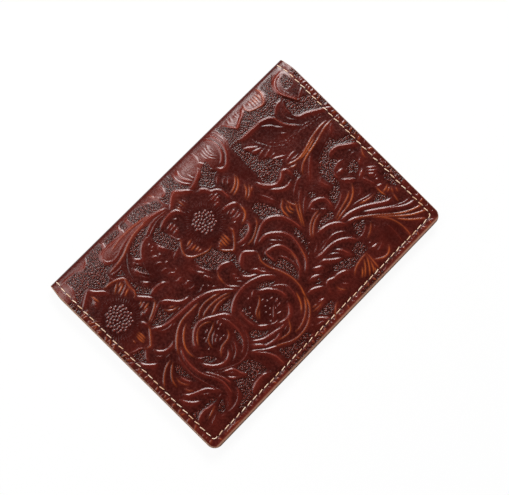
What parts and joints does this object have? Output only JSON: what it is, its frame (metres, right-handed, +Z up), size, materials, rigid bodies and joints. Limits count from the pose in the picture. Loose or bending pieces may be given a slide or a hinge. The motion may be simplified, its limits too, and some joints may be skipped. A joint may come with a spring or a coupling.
{
  "type": "travel document cover",
  "caption": "Book-style leather travel document cover, tooled outside and lined, with stitched passport sleeves and card pockets, that folds open round a soft spine.",
  "frame": {"origin": "centre of the closed cover's footprint, on the outer face of the back leaf that it lies on", "axes": "+X from the spine to the fore-edges, +Y along the spine to the top edge, +Z up out of the front leaf"},
  "size_m": [0.097, 0.14, 0.007],
  "materials": {
    "tooled_leather": "dark mahogany, tooled in relief, antiqued and glossy",
    "pocket_leather": "smooth brown leather, satin",
    "lining": "dark brown woven lining, matte",
    "thread": "pale tan waxed thread"
  },
  "bodies": {
    "back_leaf": {"outer_cover_back": "tooled_leather", "lining_back": "lining", "passport_sleeve_back": "pocket_leather", "needle_thread_back": "thread", "bobbin_thread_back": "thread"},
    "spine": {"outer_cover_spine": "tooled_leather", "lining_spine": "lining", "needle_thread_spine_top": "thread", "needle_thread_spine_bottom": "thread", "bobbin_thread_spine_top": "thread", "bobbin_thread_spine_bottom": "thread"},
    "front_leaf": {"outer_cover_front": "tooled_leather", "lining_front": "lining", "passport_sleeve_front": "pocket_leather", "card_pocket_1": "pocket_leather", "card_pocket_2": "pocket_leather", "needle_thread_front": "thread", "bobbin_thread_front": "thread"}
  },
  "joints": [
    {"name": "spine_fold", "type": "hinge", "parent": "back_leaf", "child": "spine", "pos_m": [-0.04775, 0, 0.00075], "axis": [0, -1, 0], "range_deg": [0, 90]},
    {"name": "cover_fold", "type": "hinge", "parent": "spine", "child": "front_leaf", "pos_m": [-0.04775, 0, 0.00625], "axis": [0, -1, 0], "range_deg": [0, 90]}
  ],
  "couplings": [
    {"joint": "spine_fold", "follows": "cover_fold", "ratio": 1}
  ]
}
